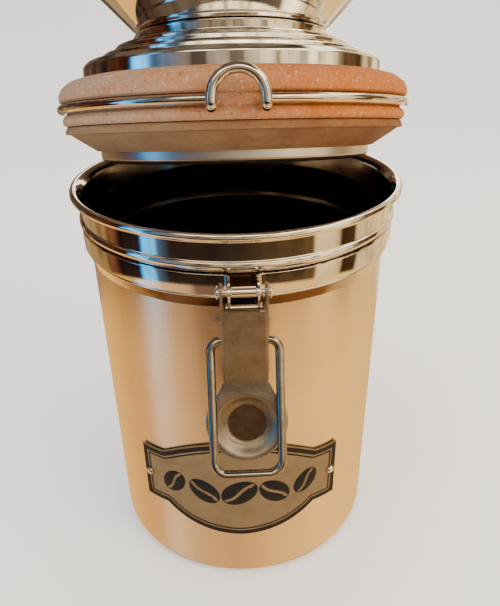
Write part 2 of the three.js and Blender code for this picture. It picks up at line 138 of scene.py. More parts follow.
class Mat(Nodes):
    """A Principled material with procedural detail, drawn in the frame of a tilted group if one is given."""

    def __init__(self, name, color, rough, metal=0.0, group=None, **sockets):
        self.mat = bpy.data.materials.new(name)
        self.mat.use_nodes = True
        super().__init__(self.mat.node_tree, "Object")
        self.bsdf = self.tree.nodes["Principled BSDF"].inputs
        self.feed(color, self.bsdf["Base Color"])
        self.feed(rough, self.bsdf["Roughness"])
        self.feed(metal, self.bsdf["Metallic"])
        for key, value in sockets.items():
            self.feed(value, self.bsdf[key.replace("_", " ")])
        self.normal = None
        if group is not None:
            values = {"Vector": self.coord, "Location": group.to_translation(), "Rotation": group.to_euler()}
            self.coord = self.node("Mapping", values, vector_type="TEXTURE").outputs["Vector"]

    def stretched(self, scale):
        values = {"Vector": self.coord, "Scale": Vector(scale)}
        return self.node("Mapping", values).outputs["Vector"]

    def turned(self, per_radius, per_height, per_turn):
        """Coordinates that follow a turned surface: radius, height and angle about local Z."""
        x, y, z = self.split(self.coord)
        flat = self.node("CombineXYZ", {0: x, 1: y}).outputs[0]
        radius = self.node("VectorMath", {0: flat}, operation="LENGTH").outputs["Value"]
        angle = self.math("ARCTAN2", x, y)
        terms = (radius, per_radius), (z, per_height), (angle, per_turn)
        scaled = {i: self.math("MULTIPLY", *term) for i, term in enumerate(terms)}
        return self.node("CombineXYZ", scaled).outputs[0]

    def color(self, socket):
        self.feed(socket, self.bsdf["Base Color"])

    def tones(self, fac, start, end, first, second):
        self.color(self.mix(self.fade(fac, start, end), first, second))

    def rough(self, fac, low, high):
        values = {"Value": fac, "To Min": low, "To Max": high}
        self.feed(self.node("MapRange", values).outputs[0], self.bsdf["Roughness"])

    def bump(self, fac, distance, strength):
        values = {"Height": fac, "Distance": distance, "Strength": strength}
        if self.normal is not None:
            values["Normal"] = self.normal
        self.normal = self.node("Bump", values).outputs["Normal"]
        self.feed(self.normal, self.bsdf["Normal"])


# -------------------- materials
def body_steel():
    m = Mat("satin_body_steel", (0.84, 0.74, 0.62), 0.34, 1.0)
    grain = m.noise(m.turned(300, 5200, 9.0), 1.0, 3, 0.6)
    upright = m.noise(m.turned(300, 26, 60.0), 1.0, 4, 0.6)
    cloud = m.noise(m.coord, 42, 3)
    scuff = m.fade(m.noise(m.stretched((60, 60, 900)), 1.6, 6, 0.7), 0.60, 0.74)
    m.tones(cloud, 0.3, 0.75, (0.95, 0.81, 0.60), (0.87, 0.72, 0.52))
    m.rough(m.weigh((grain, 0.45), (upright, 0.35), (scuff, 0.25)), 0.17, 0.38)
    m.bump(grain, 0.000012, 0.5)
    m.bump(upright, 0.00003, 0.25)
    return m.mat


def inner_steel():
    # painted shade: the interior steel is a much darker copy of the body's, so the inside of the can reads
    # dark; noise patches of dust darken it further
    shaded_clean, dust_and_painted_light = (0.45, 0.38, 0.32), (0.28, 0.22, 0.17)
    m = Mat("shaded_can_interior_steel", shaded_clean, 0.12, 1.0)
    rings = m.noise(m.turned(900, 900, 2.0), 1.0, 4, 0.6)
    dust = m.fade(m.noise(m.coord, 900, 3), 0.62, 0.70)
    m.color(m.mix(dust, shaded_clean, dust_and_painted_light))
    m.rough(m.weigh((rings, 0.8), (dust, 0.4)), 0.05, 0.20)
    m.bump(rings, 0.00002, 0.4)
    return m.mat


def mirror_steel(name, color, low, high, marks, group=None):
    m = Mat(name, color, low, 1.0, group)
    rings = m.noise(m.turned(2600, 2600, 3.0), 1.0, 3, 0.6)
    smear = m.noise(m.coord, 70, 4, 0.6)
    fine = m.fade(m.noise(m.stretched((420, 420, 60)), 2.0, 8, 0.75), 0.63, 0.72)
    darker = tuple(c * 0.82 for c in color)
    m.tones(smear, 0.35, 0.8, color, darker)
    m.rough(m.weigh((smear, 0.55), (fine, marks)), low, high)
    m.bump(rings, 0.000006, 0.35)
    m.bump(smear, 0.0002, 0.05)
    return m.mat


def step_steel():
    """Bright round the back and darkened at the front, under the latch: painted shade on the chamfer and on
    the seat between the band's ears.
    """
    m = Mat("front_shaded_step_steel", (0.20, 0.115, 0.075), 0.06, 1.0)
    stain = m.noise(m.coord, 60, 5, 0.65)
    front = m.weigh((m.split(m.coord)[1], 22.0), (stain, 0.35))
    bright = m.fade(m.math("ADD", front, 1.0), 0.08, 0.40)
    # painted shade: dark brown at the front, fading into the bright steel round the back
    m.color(m.mix(bright, (0.13, 0.068, 0.042), (0.86, 0.80, 0.72)))
    m.rough(stain, 0.03, 0.16)
    m.bump(stain, 0.0001, 0.05)
    return m.mat


def lever_steel():
    m = Mat("tarnished_lever_steel", (0.33, 0.26, 0.19), 0.42, 1.0)
    blotch = m.noise(m.coord, 190, 5, 0.65)
    speck = m.noise(m.coord, 1500, 3, 0.6)
    streak = m.noise(m.stretched((900, 900, 80)), 1.0, 4, 0.6)
    tone = m.mix(m.fade(blotch, 0.32, 0.72), (0.43, 0.37, 0.30), (0.24, 0.195, 0.155))
    m.color(m.mix(m.fade(speck, 0.56, 0.68, 0.75), tone, (0.52, 0.43, 0.33)))
    m.rough(m.weigh((blotch, 0.6), (streak, 0.4)), 0.28, 0.60)
    m.bump(speck, 0.00005, 0.35)
    m.bump(streak, 0.00002, 0.3)
    return m.mat


def wire_steel(name, light, dark):
    m = Mat(name, light, 0.1, 1.0)
    smear = m.noise(m.coord, 160, 4, 0.6)
    die = m.noise(m.stretched((1500, 1500, 120)), 1.0, 3, 0.6)
    m.tones(smear, 0.4, 0.75, light, dark)
    m.rough(m.weigh((smear, 0.6), (die, 0.3)), 0.03, 0.15)
    m.bump(die, 0.000008, 0.3)
    return m.mat


def silicone(name, light, dark, dust_and_painted_light, crumb, speckle, bump_mm):
    """Worn silicone of the lid: painted light making it paler and greyer towards -X, pale speckles, and
    coffee crumbs.
    """
    m = Mat(name, light, 0.7, 0.0, LID, Subsurface_Weight=0.06, Specular_IOR_Level=0.35)
    m.feed(Vector((0.004, 0.002, 0.001)), m.bsdf["Subsurface Radius"])
    band = m.noise(m.turned(320, 320, 5.0), 1.0, 5, 0.6)
    blotch = m.noise(m.coord, 95, 5, 0.7)
    grit = m.noise(m.coord, 760, 4, 0.7)
    pale = m.noise(m.coord, 1000, 5, 0.8)
    # painted light: the side towards -X is mixed towards a paler, greyer tone, as if lit by the cool lamp on
    # that side
    side = m.weigh((m.split(m.coord)[0], 7.0), (blotch, 0.55))
    tone = m.mix(m.fade(blotch, 0.3, 0.72), light, dark)
    tone = m.mix(m.ramp(side, [(0.0, 0.85), (0.5, 0.0)]), tone, dust_and_painted_light)
    tone = m.mix(m.math("MULTIPLY", m.fade(band, 0.42, 0.7), 0.45), tone, dark)
    tone = m.mix(m.fade(pale, 0.56, 0.70, speckle), tone, (0.58, 0.46, 0.34))
    tone = m.mix(m.fade(grit, 0.61, 0.67, 0.8), tone, crumb)
    m.color(tone)
    m.rough(m.weigh((blotch, 0.6), (grit, 0.4)), 0.5, 0.9)
    m.bump(grit, bump_mm * MM, 0.55)
    m.bump(blotch, 0.00025, 0.3)
    return m.mat


def plate_field():
    m = Mat("bronze_plate_field", (0.24, 0.17, 0.10), 0.42, 0.15, Specular_IOR_Level=0.3)
    cloud = m.noise(m.coord, 120, 5, 0.6)
    fine = m.noise(m.turned(500, 1500, 30.0), 1.0, 4, 0.6)
    m.tones(cloud, 0.3, 0.75, (0.175, 0.112, 0.050), (0.125, 0.077, 0.033))
    m.rough(m.weigh((cloud, 0.6), (fine, 0.4)), 0.40, 0.62)
    m.bump(fine, 0.00002, 0.35)
    return m.mat


def dark_line():
    black, worn = (0.008, 0.007, 0.007), (0.05, 0.035, 0.022)
    m = Mat("dark_printed_line", black, 0.5, 0.0, Specular_IOR_Level=0.2)
    wear = m.noise(m.coord, 900, 5, 0.7)
    m.color(m.mix(m.fade(wear, 0.58, 0.72, 0.8), black, worn))
    m.rough(wear, 0.42, 0.68)
    m.bump(wear, 0.00002, 0.5)
    return m.mat


def dish_steel():
    m = Mat("dish_dark_steel", (0.15, 0.095, 0.062), 0.3, 1.0)
    cloud = m.noise(m.stretched((500, 500, 500)), 1.0, 5, 0.6)
    m.tones(cloud, 0.35, 0.7, (0.20, 0.125, 0.080), (0.11, 0.070, 0.047))
    m.rough(cloud, 0.30, 0.55)
    m.bump(cloud, 0.00004, 0.4)
    return m.mat


def floor_material():
    m = Mat("pale_floor", (0.88, 0.87, 0.86), 0.75, 0.0)
    m.color(m.mix(m.noise(m.coord, 14, 4), (0.945, 0.94, 0.93), (0.92, 0.915, 0.905)))
    return m.mat


BODY = body_steel()
INSIDE = inner_steel()
MIRROR = mirror_steel("polished_steel", (0.90, 0.86, 0.80), 0.02, 0.085, 0.35)
DOME = mirror_steel("polished_lid_steel", (0.90, 0.86, 0.80), 0.03, 0.12, 0.45, LID)
PIN = mirror_steel("bright_pin_steel", (1.0, 0.93, 0.80), 0.10, 0.24, 0.3)
PLUG = mirror_steel("pressed_plug_steel", (0.72, 0.68, 0.64), 0.25, 0.45, 0.6, LID)
STEP = step_steel()
SHEET = lever_steel()
DISH = dish_steel()
WIRE = wire_steel("drawn_wire_steel", (0.78, 0.74, 0.69), (0.60, 0.53, 0.45))
# painted shade: the bail's steel is a darker copy of the lid wire's steel
SHADED_WIRE = wire_steel("shaded_bail_steel", (0.42, 0.385, 0.35), (0.24, 0.20, 0.165))
# painted light in both silicones: paler and greyer towards -X
RIM = silicone("side_lit_rim_silicone", (0.40, 0.125, 0.008), (0.30, 0.074, 0.003),
               (0.235, 0.175, 0.12), (0.09, 0.035, 0.015), speckle=0.8, bump_mm=0.16)
# painted shade: the seal's colours are darker copies of the rim's, for the underside of the same gasket
SEAL = silicone("shaded_seal_silicone", (0.19, 0.075, 0.016), (0.125, 0.042, 0.009),
                (0.18, 0.12, 0.06), (0.09, 0.04, 0.018), speckle=0.12, bump_mm=0.05)
FIELD = plate_field()
LINE = dark_line()


# -------------------- mesh helpers
EVEN_NORMALS = "even_normals"
STRAIGHT, FOLDED = 1.55, 0.02  # half angles at which a corner is too flat or too sharp to round
FILLET_SHARE, BEND_SHARE = 0.48, 0.49  # most of a side that the rounding of one corner takes
TIP_SHARE = 0.45  # height of an open tube's end cone over its radius


def finish_mesh(name, verts, faces, mats, where, body, slot, nodes=(), mat_index=None, sharp=None):
    """Links a mesh given in local millimetres, places it, and attaches it to its body."""
    mesh = bpy.data.meshes.new(name)
    mesh.from_pydata([Vector(v) * MM for v in verts], [], faces)
    for mat in mats:
        mesh.materials.append(mat)
    if mat_index:
        mesh.polygons.foreach_set("material_index", mat_index)
    mesh.transform(where)
    mesh.validate()
    bm = bmesh.new()
    bm.from_mesh(mesh)
    bmesh.ops.remove_doubles(bm, verts=bm.verts, dist=1e-7)
    bmesh.ops.recalc_face_normals(bm, faces=bm.faces)
    bm.to_mesh(mesh)
    bm.free()
    obj = add_object(name, mesh)
    mesh.shade_smooth()
    if sharp:
        mesh.set_sharp_from_angle(angle=math.radians(sharp))
    even = obj.modifiers.new(EVEN_NORMALS, "WEIGHTED_NORMAL")
    even.weight = 100
    even.keep_sharp = True
    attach(obj, body)
    if nodes:
        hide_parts(*nodes)
    return obj


def half_angle(a, b):
    return math.acos(max(-1, min(1, a.dot(b)))) / 2


def fillet(points, steps):
    """Rounds the corners of a closed (radius, height, fillet) polygon; a fillet of 0 keeps the corner.

    Gives (point, corner) pairs, where corner is the number of the corner that the point belongs to.
    """
    out = []
    count = len(points)
    for i, (r, z, rad) in enumerate(points):
        here = Vector((r, z))
        back = Vector(points[i - 1][:2]) - here
        ahead = Vector(points[(i + 1) % count][:2]) - here
        if rad <= 0 or back.length < TINY or ahead.length < TINY:
            out.append((here, i))
            continue
        a, b = back.normalized(), ahead.normalized()
        half = half_angle(a, b)
        if half > STRAIGHT or half < FOLDED:
            out.append((here, i))
            continue
        trim = min(rad / math.tan(half), back.length * FILLET_SHARE, ahead.length * FILLET_SHARE)
        rad = trim * math.tan(half)
        centre = here + (a + b).normalized() * (rad / math.sin(half))
        start, end = here + a * trim - centre, here + b * trim - centre
        sweep = start.angle_signed(end)
        for k in range(steps + 1):
            c, s = math.cos(-sweep * k / steps), math.sin(-sweep * k / steps)
            spoke = Vector((start.x * c - start.y * s, start.x * s + start.y * c))
            out.append((centre + spoke, i))
    return out


def lathe(name, profile, mats, where, body, slot, nodes, segs, steps=5, split=None, axis="Z"):
    """Turns a closed profile about local Z, or about local X with the profile's heights along it.

    split(i) gives the material of the edge after corner i.
    """
    pts = fillet(profile, steps)
    verts, faces, index = [], [], []
    on_axis = [p.x < TINY for p, _ in pts]
    n = len(pts)
    rows = []
    for (p, _), is_pole in zip(pts, on_axis):
        if is_pole:
            rows.append([len(verts)] * segs)
            verts.append((0, 0, p.y))
        else:
            rows.append([len(verts) + k for k in range(segs)])
            for k in range(segs):
                a = TAU * k / segs
                verts.append((p.x * math.cos(a), p.x * math.sin(a), p.y))
    for i in range(n):
        j = (i + 1) % n
        if on_axis[i] and on_axis[j]:
            continue
        mat = split(pts[i][1]) if split else 0
        for k in range(segs):
            k2 = (k + 1) % segs
            quad = [rows[i][k], rows[i][k2], rows[j][k2], rows[j][k]]
            face = list(dict.fromkeys(quad))
            if len(face) > 2:
                faces.append(face)
                index.append(mat)
    if axis == "X":
        verts = [(z, y, -x) for x, y, z in verts]
    return finish_mesh(name, verts, faces, mats, where, body, slot, nodes, index, sharp=40)


def ring_faces(rings, sides, closed=False):
    """Quads between successive rings of equally many vertices."""
    faces = []
    for i in range(rings if closed else rings - 1):
        a, b = i * sides, (i + 1) % rings * sides
        faces += [[a + k, a + (k + 1) % sides, b + (k + 1) % sides, b + k] for k in range(sides)]
    return faces


def sweep(points, radius, sides, closed=False):
    """Vertices and faces of a round tube along a polyline, with rotation-minimising frames.

    An open tube ends in shallow cones.
    """
    pts = [Vector(p) for p in points]
    n = len(pts)
    tangents = []
    for i in range(n):
        a = pts[(i - 1) % n] if closed or i else pts[0]
        b = pts[(i + 1) % n] if closed or i < n - 1 else pts[-1]
        tangents.append((b - a).normalized())
    normal = tangents[0].orthogonal().normalized()
    normals = [normal]
    for i in range(1, n):
        turn = tangents[i - 1].rotation_difference(tangents[i])
        normal = turn @ normal
        normal = (normal - tangents[i] * normal.dot(tangents[i])).normalized()
        normals.append(normal)
    verts = []
    twist = 0.0
    if closed:
        last = tangents[-1].rotation_difference(tangents[0]) @ normals[-1]
        sense = 1 if normals[0].cross(last).dot(tangents[0]) > 0 else -1
        twist = -normals[0].angle(last) * sense
    for i, (p, t, u) in enumerate(zip(pts, tangents, normals)):
        w = t.cross(u)
        for k in range(sides):
            a = TAU * k / sides + twist * i / n
            verts.append(p + radius * (u * math.cos(a) + w * math.sin(a)))
    faces = ring_faces(n, sides, closed)
    if not closed:
        for end, outward in ((0, -1), (n - 1, 1)):
            ring = [end * sides + k for k in range(sides)]
            tip = len(verts)
            verts.append(pts[end] + tangents[end] * outward * radius * TIP_SHARE)
            for k in range(sides):
                faces.append([ring[k], ring[(k + 1) % sides], tip])
    return [tuple(v) for v in verts], faces


def bend(corners, radii, steps):
    """A 3D polyline with each inner corner rounded to its own radius."""
    pts = [Vector(c) for c in corners]
    path = [pts[0]]
    for i in range(1, len(pts) - 1):
        a, b = pts[i - 1] - pts[i], pts[i + 1] - pts[i]
        u, v = a.normalized(), b.normalized()
        half = half_angle(u, v)
        if half > STRAIGHT:
            path.append(pts[i])
            continue
        trim = min(radii[i - 1] / math.tan(half), a.length * BEND_SHARE, b.length * BEND_SHARE)
        rad = trim * math.tan(half)
        centre = pts[i] + (u + v).normalized() * rad / math.sin(half)
        start, end = pts[i] + u * trim - centre, pts[i] + v * trim - centre
        axis = start.cross(end).normalized()
        total = start.angle(end)
        for k in range(steps + 1):
            path.append(Matrix.Rotation(total * k / steps, 3, axis) @ start + centre)
    path.append(pts[-1])
    return path


def join_parts(parts):
    """One list of vertices and one of faces from several (vertices, faces) pairs."""
    verts, faces = [], []
    for v, f in parts:
        base = len(verts)
        verts += [tuple(p) for p in v]
        faces += [[base + i for i in face] for face in f]
    return verts, faces


def bevelled(obj, width, segments=3, angle=35):
    """Rounds the edges; the bevel hardens its own normals, so the even ones go."""
    obj.modifiers.remove(obj.modifiers[EVEN_NORMALS])
    mod = obj.modifiers.new("edge", "BEVEL")
    mod.width = width * MM
    mod.segments = segments
    mod.limit_method = "ANGLE"
    mod.angle_limit = math.radians(angle)
    mod.harden_normals = True


def slab(outline, lo, hi, place):
    """A flat plate between lo and hi across a 2D outline; place maps (u, v, w) to 3D."""
    n = len(outline)
    verts = [place(u, v, lo) for u, v in outline] + [place(u, v, hi) for u, v in outline]
    faces = [list(range(n))[::-1], list(range(n, 2 * n))]
    for i in range(n):
        j = (i + 1) % n
        faces.append([i, j, j + n, i + n])
    return verts, faces


def bored_slab(outline, centre, bore, lo, hi, spokes=72):
    """A plate across X with a round hole; the outline is seen whole from the hole's centre."""
    verts = []
    c = Vector(centre)
    for k in range(spokes):
        a = TAU * k / spokes
        ray = Vector((math.cos(a), math.sin(a)))
        reach = 0.0
        for p, q in zip(outline, outline[1:] + outline[:1]):
            p, q = Vector(p) - c, Vector(q) - c
            side = q - p
            det = ray.x * -side.y + side.x * ray.y
            if abs(det) < TINY * MM:
                continue
            t = (p.x * -side.y + side.x * p.y) / det
            u = (ray.x * p.y - ray.y * p.x) / det
            if t > 0 and -TINY <= u <= 1 + TINY:
                reach = max(reach, t)
        for dist, x in ((bore, lo), (reach, lo), (reach, hi), (bore, hi)):
            q = c + ray * dist
            verts.append((x, q.x, q.y))
    return verts, ring_faces(spokes, 4, closed=True)


def round_outline(points, steps=6):
    """The fillet's points alone, as pairs."""
    return [(p.x, p.y) for p, _ in fillet(points, steps)]


# -------------------- can
def build_can():
    profile = [
        (0, 0, 0), (52.6, 0, 2.6), (CAN_RADIUS, 2.9, 2.4), (CAN_RADIUS, 125.25, 0.3), (54.0, 125.25, 0.3),
        (54.0, 3.4, 2.0), (51.0, 1.2, 1.5), (0, 1.2, 0),
    ]
    top_edge = 3
    lathe("can_shell", profile, [BODY, INSIDE], CAN, "can", "body_steel", ["can_body"], segs=192, steps=8,
          split=lambda i: 1 if i >= top_edge else 0)
    neck = [
        (54.02, 125.15, 0.1), (55.25, 125.15, 0.3), (56.55, 129.2, 0.7), (56.0, 129.7, 0.2),
        (56.0, 137.2, 0.2), (56.55, 138.05, 0.3),
        (57.35, 138.4, 0.8), (57.85, 139.5, 0.9), (57.35, 140.6, 0.8), (56.8, 141.0, 0.4),
        (56.9, 147.0, 0.5), (57.9, 147.9, 0.6), (59.2, 147.8, 0.9), (60.0, 149.0, 1.1), (59.3, 150.55, 1.2),
        (57.9, 150.5, 1.2), (57.1, 149.2, 1.1), (56.1, 147.4, 0.8), (55.0, 140.1, 2.0), (54.3, 126.6, 1.0),
    ]
    looks = {17: 1, 18: 1, 19: 1, 1: 2, 3: 2}  # inner wall in the interior steel with painted shade; chamfer and seat below the strap in the step steel with painted shade at the front
    lathe("neck_ring", neck, [MIRROR, INSIDE, STEP], CAN, "can", "mirror_steel", ["neck_collar"], segs=192,
          steps=6, split=lambda i: looks.get(i, 0))


BAND_RADIUS, BAND_HALF, BAND_CROWN = 56.78, 0.38, 0.14
EAR_X = 4.35
EAR_FROM = 5.6  # within this distance of the middle, the band's edges are the ears'

# Lower and upper edge of the clamp band's ears: distance out from the can's axis, height.
EAR_LOW = [(57.0, 129.9), (58.4, 129.7), (59.0, 128.3), (59.9, 126.8), (61.2, 126.25), (62.5, 126.7),
           (63.2, 128.1), (63.6, 130.6), (64.8, 132.6), (65.3, 134.0)]
EAR_HIGH = [(57.0, 137.0), (61.0, 136.8), (63.2, 136.7), (64.6, 135.9), (65.3, 134.4)]


def along(table, at):
    """Straight-line reading of a table of pairs, held at its ends."""
    for (a, x), (b, y) in zip(table, table[1:]):
        if at <= b:
            return x + (y - x) * max(0.0, (at - a) / (b - a))
    return table[-1][1]


def band_line():
    """Centre line of the clamp band seen from above, from the tip of one ear to the other's."""
    steps, long_run, cuts_in_long_run = 200, 3, 12
    start = math.asin(6.6 / BAND_RADIUS)
    turns = (start + (TAU - 2 * start) * i / steps for i in range(steps + 1))
    ring = [(BAND_RADIUS * math.sin(a), -BAND_RADIUS * math.cos(a)) for a in turns]
    elbow = bend([(*ring[0], 0), (EAR_X, -57.05, 0), (EAR_X, -65.25, 0)], [1.7], 8)
    head = [(p.x, p.y) for p in elbow][1:]
    ear = []
    for a, b in zip(head, head[1:]):
        cuts = cuts_in_long_run if abs(a[1] - b[1]) > long_run else 1
        ear += [(a[0] + (b[0] - a[0]) * k / cuts, a[1] + (b[1] - a[1]) * k / cuts) for k in range(cuts)]
    ear.append(head[-1])
    return ear[::-1] + ring + [(-x, y) for x, y in ear]


def build_band():
    line = band_line()
    verts = []
    n = len(line)
    for i, (x, y) in enumerate(line):
        t = (Vector(line[min(i + 1, n - 1)]) - Vector(line[max(i - 1, 0)])).normalized()
        low, high = BAND_LOW, BAND_HIGH
        if abs(x) <= EAR_FROM:
            low, high = along(EAR_LOW, -y), along(EAR_HIGH, -y)
        for off, z in ((-BAND_HALF, low), (BAND_HALF, low + 0.15), (BAND_HALF + BAND_CROWN, (low + high) / 2),
                       (BAND_HALF, high - 0.15), (-BAND_HALF, high)):
            verts.append((x + t.y * off, y - t.x * off, z))
    faces = ring_faces(n, 5) + [[0, 1, 2, 3, 4], [(n - 1) * 5 + k for k in (4, 3, 2, 1, 0)]]
    band = finish_mesh("clamp_strap", verts, faces, [MIRROR], CAN, "can", "mirror_steel", ["clamp_band"],
                       sharp=38)
    bevelled(band, 0.12, 2, 40)


def latch_pin(name, profile, centre, node):
    """A turned pin of the can's along X; the profile is (radius, x, fillet)."""
    lathe(name, profile, [PIN], shift(*centre), "can", "pin_steel", [node], segs=40, steps=6, axis="X")


def domed_pin(half, shank, head, thick):
    """Profile of a pin: half its length between the heads, shank and head radius, head thickness."""
    right = [(shank, half, 0.05), (head, half, 0.08), (head, half + thick * 0.35, thick * 0.5),
             (head * 0.55, half + thick * 0.92, thick * 0.6), (0, half + thick, 0)]
    return [(r, -x, rad) for r, x, rad in right[::-1]] + right


def build_pins():
    latch_pin("tie_pin", domed_pin(5.05, 0.85, 1.35, 0.85), TIE_PIN, "band_tie_pin")
    latch_pin("pivot_pin", domed_pin(7.55, 0.95, 2.05, 0.98), PIVOT, "lever_pivot_pin")
    sleeve = [(1.2, -3.6, 0.1), (1.6, -3.6, 0.25), (1.6, 3.6, 0.25), (1.2, 3.6, 0.1)]
    latch_pin("pivot_spacer", sleeve, PIVOT, "pivot_sleeve")


def bracket_plate():
    """The bracket's curved plate, with its ends rounded seen from behind."""
    inner, outer = 57.5, 58.6
    low, high = 130.15, 136.75
    steps = 40
    span = math.asin(14.6 / 58.0)
    verts = []
    for i in range(steps + 1):
        a = -span + 2 * span * i / steps
        edge = min(1.0, (span - abs(a)) / 0.045)
        drop = 1.6 * (1 - math.sqrt(max(0.0, 1 - (1 - edge) ** 2)))
        for r, z in ((inner, low + drop), (outer, low + drop), (outer, high - drop), (inner, high - drop)):
            verts.append((r * math.sin(a), r * math.cos(a), z))
    return verts, ring_faces(steps + 1, 4) + [[0, 1, 2, 3], [steps * 4 + k for k in (3, 2, 1, 0)]]


def build_bracket():
    parts = [bracket_plate()]
    knuckle_bore, rivet_turn = 1.75, 0.205
    ear = round_outline([(57.9, 131.4, 0.3), (61.5, 131.0, 1.2), (64.0, 130.45, 2.0), (67.8, 130.5, 2.8),
                         (67.85, 136.1, 2.8), (63.6, 136.2, 1.5), (57.9, 136.4, 0.6)])
    for lo, hi in ((5.45, 6.75), (-6.75, -5.45)):
        parts.append(bored_slab(ear, HINGE[1:], knuckle_bore, lo, hi))
    verts, faces = join_parts(parts)
    obj = finish_mesh("rear_bracket", verts, faces, [MIRROR], CAN, "can", "mirror_steel",
                      ["hinge_bracket"], sharp=35)
    bevelled(obj, 0.2, 3)
    for side, word in ((-1, "left"), (1, "right")):
        turn = (Matrix.Rotation(-side * rivet_turn, 4, "Z") @ shift(0, 0, RIVET_Z)
                @ Matrix.Rotation(-math.pi / 2, 4, "X"))
        head = [(0, 57.55, 0), (1.1, 57.55, 0), (1.1, 58.62, 0), (2.25, 58.62, 0.15), (2.2, 59.2, 0.5),
                (1.3, 59.9, 0.8), (0, 60.05, 0)]
        lathe(f"bracket_rivet_head_{word}", head, [PIN], turn, "can", "pin_steel",
              [f"bracket_rivet_{word}"], segs=32)


# -------------------- latch
LEVER_TOP, LEVER_FACE = -5.8, -1.8  # height of the sheet's top edge and y of its front, from the pivot
LEVER_LENGTH = 51.18  # along the sheet
CREASE = 25.7  # distance down the sheet at which it leans outwards
LEAN = math.radians(18.0)
LEAN_RUN = 3.2  # the crease is spread over this much sheet on each side
FLARE_ABOVE, FLARE_BELOW = 3.0, 3.3  # the sheet widens from the neck to the pad between these
PAD_DROP, PAD_RADIUS = 12.5, 13.0  # middle of the round pad below the crease
DISH_DROP = 13.8  # middle of the dish below the crease
DISH_EDGE, DISH_FOOT, DISH_FLOOR = 10.6, 6.9, 6.1
DISH_STEP, DISH_DEPTH = 2.0, 2.55
DISH_LOOK = 6.3  # the dark look reaches this far from the dish's middle
SHEET_THICKNESS = 0.95
BAIL_WIRE = 1.395


def lever_section(s):
    """Half width, y, z and lean of the lever sheet at distance s down from its top edge."""
    t = s - CREASE
    if s < CREASE - FLARE_ABOVE:
        half = 7.15 - 0.45 * s / (CREASE - FLARE_ABOVE)
    elif t < FLARE_BELOW:
        k = (t + FLARE_ABOVE) / (FLARE_ABOVE + FLARE_BELOW)
        half = 6.7 + 2.49 * k * k * (1.35 - 0.35 * k)
    else:
        half = math.sqrt(max(0.0, PAD_RADIUS ** 2 - (t - PAD_DROP) ** 2))
    if s <= CREASE - LEAN_RUN:
        return half, LEVER_FACE, LEVER_TOP - s, 0.0
    u = min(s - (CREASE - LEAN_RUN), 2 * LEAN_RUN)
    lean = LEAN * u / (2 * LEAN_RUN)
    y = LEVER_FACE - u * math.sin(lean / 2)
    z = LEVER_TOP - (CREASE - LEAN_RUN) - u * math.cos(lean / 2)
    rest = max(0.0, s - (CREASE + LEAN_RUN))
    return half, y - rest * math.sin(LEAN), z - rest * math.cos(LEAN), lean


def dish_depth(r):
    """How far the thumb pad is pressed in at a distance from the dish's middle."""
    if r > DISH_EDGE:
        return 0.0
    if r < DISH_FLOOR:
        return DISH_DEPTH
    if r < DISH_FOOT:
        return DISH_DEPTH - (DISH_DEPTH - DISH_STEP) * (r - DISH_FLOOR) / (DISH_FOOT - DISH_FLOOR)
    t = (DISH_EDGE - r) / (DISH_EDGE - DISH_FOOT)
    return DISH_STEP * t * t * (3 - 2 * t)


def sheet_depth(x, s, half):
    """How far the sheet's face is pressed in: dish and rolled edge on the pad, round sides on the neck."""
    if s > CREASE:
        edge = max(0.0, 1 - (half - abs(x)) / 1.2)
        return dish_depth(math.hypot(x, s - CREASE - DISH_DROP)) + 0.5 * edge ** 2
    side_from, side_depth = 6.15, 0.85
    e = min(1.0, max(0.0, abs(x) - side_from))
    return side_depth * (1 - math.sqrt(1 - e * e))


def sheet_x(u, s, half):
    """Place across the sheet for u from -1 to 1; on the pad the columns crowd towards the edge."""
    return half * math.sin(u * math.pi / 2) if s > 30 else half * u


def build_lever():
    rows, cols = 190, 76
    verts, faces, index = [], [], []
    for j in range(rows + 1):
        s = LEVER_LENGTH * j / rows
        half, y, z, lean = lever_section(s)
        half = max(half, 0.35)
        for i in range(cols + 1):
            x = sheet_x(-1 + 2 * i / cols, s, half)
            depth = sheet_depth(x, s, half)
            verts.append((x, y + depth * math.cos(lean), z - depth * math.sin(lean)))
    for j in range(rows):
        s = LEVER_LENGTH * (j + 0.5) / rows
        half = lever_section(s)[0]
        for i in range(cols):
            a = j * (cols + 1) + i
            faces.append([a, a + 1, a + cols + 2, a + cols + 1])
            x = sheet_x(-1 + 2 * (i + 0.5) / cols, s, half)
            in_dish = s > CREASE and math.hypot(x, s - CREASE - DISH_DROP) < DISH_LOOK
            index.append(int(in_dish))
    sheet = finish_mesh("lever_sheet", verts, faces, [SHEET, DISH], LEVER, "lever", "lever_steel",
                        ["latch_lever"], index)
    flip_towards(sheet, Vector((0, -1, 0)))
    solid = sheet.modifiers.new("thickness", "SOLIDIFY")
    solid.thickness = SHEET_THICKNESS * MM
    solid.offset = -1
    solid.use_quality_normals = True
    bevelled(sheet, 0.22, 3, 50)
    cheek = round_outline([(1.7, -5.8, 0.3), (2.9, -2.4, 1.2), (2.9, 0, 0), (2.05, 2.05, 0.9),
                           (0, 2.9, 1.2), (-2.05, 2.05, 0.9), (-2.9, 0, 1.0), (-4.65, -15.2, 2.0),
                           (-4.65, -20.4, 1.6), (-3.2, -22.8, 1.6), (0.6, -30.2, 1.5),
                           (1.6, -30.2, 0.2)], 8)
    verts, faces = join_parts([slab(cheek, lo, hi, lambda u, v, w: (w, -u, v))
                               for lo, hi in ((6.2, 7.1), (-7.1, -6.2))])
    cheeks = finish_mesh("lever_cheeks", verts, faces, [SHEET], LEVER, "lever", "lever_steel", sharp=35)
    bevelled(cheeks, 0.25, 3)


def flip_towards(obj, direction):
    """Points an open sheet's faces the given way."""
    mesh = obj.data
    total = sum((p.normal * p.area for p in mesh.polygons), Vector())
    if total.dot(direction) < 0:
        mesh.flip_normals()


